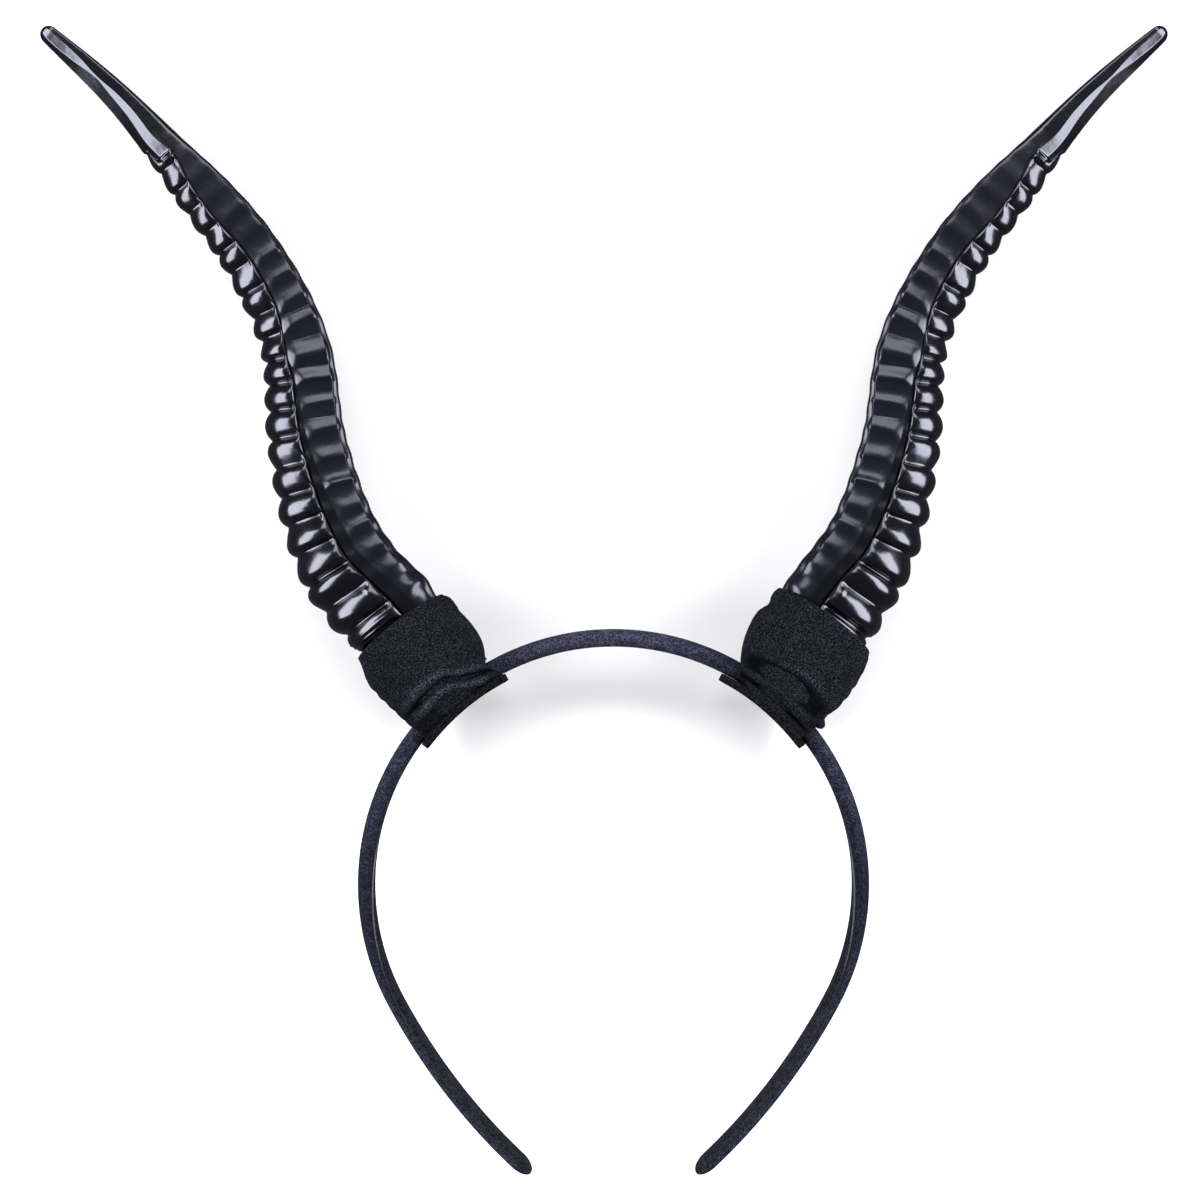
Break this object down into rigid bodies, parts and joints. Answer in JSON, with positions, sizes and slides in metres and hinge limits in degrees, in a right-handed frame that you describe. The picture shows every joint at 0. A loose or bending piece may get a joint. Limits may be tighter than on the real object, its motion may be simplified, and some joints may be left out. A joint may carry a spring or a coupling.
{
  "type": "horned costume headband",
  "caption": "Slim cloth-covered headband carrying two long S-curved ringed horns in knitted sleeves, with felt pads against the head.",
  "frame": {"origin": "under the middle of the whole piece, on the surface that it lies on", "axes": "The headband lies on its back: +Z is its front, facing up, +Y runs from the band's tips up the horns, and X from ear to ear. horn_left is at -X, on the left as the front is seen."},
  "size_m": [0.31, 0.3154, 0.0308],
  "materials": {
    "band_cloth": "dark navy-grey cloth with a fine weave, wrapped round a slim plastic band",
    "horn_plastic": "black plastic, glossy on the beads and the smooth tip and duller on the ribbed inner side",
    "sleeve_knit": "blue-black knit with fine loops, gathered in soft folds",
    "pad_felt": "smooth black felt"
  },
  "bodies": {
    "root": {"headband": "band_cloth", "horn_left": "horn_plastic", "sleeve_left": "sleeve_knit", "pad_left": "pad_felt", "horn_right": "horn_plastic", "sleeve_right": "sleeve_knit", "pad_right": "pad_felt"}
  },
  "joints": []
}
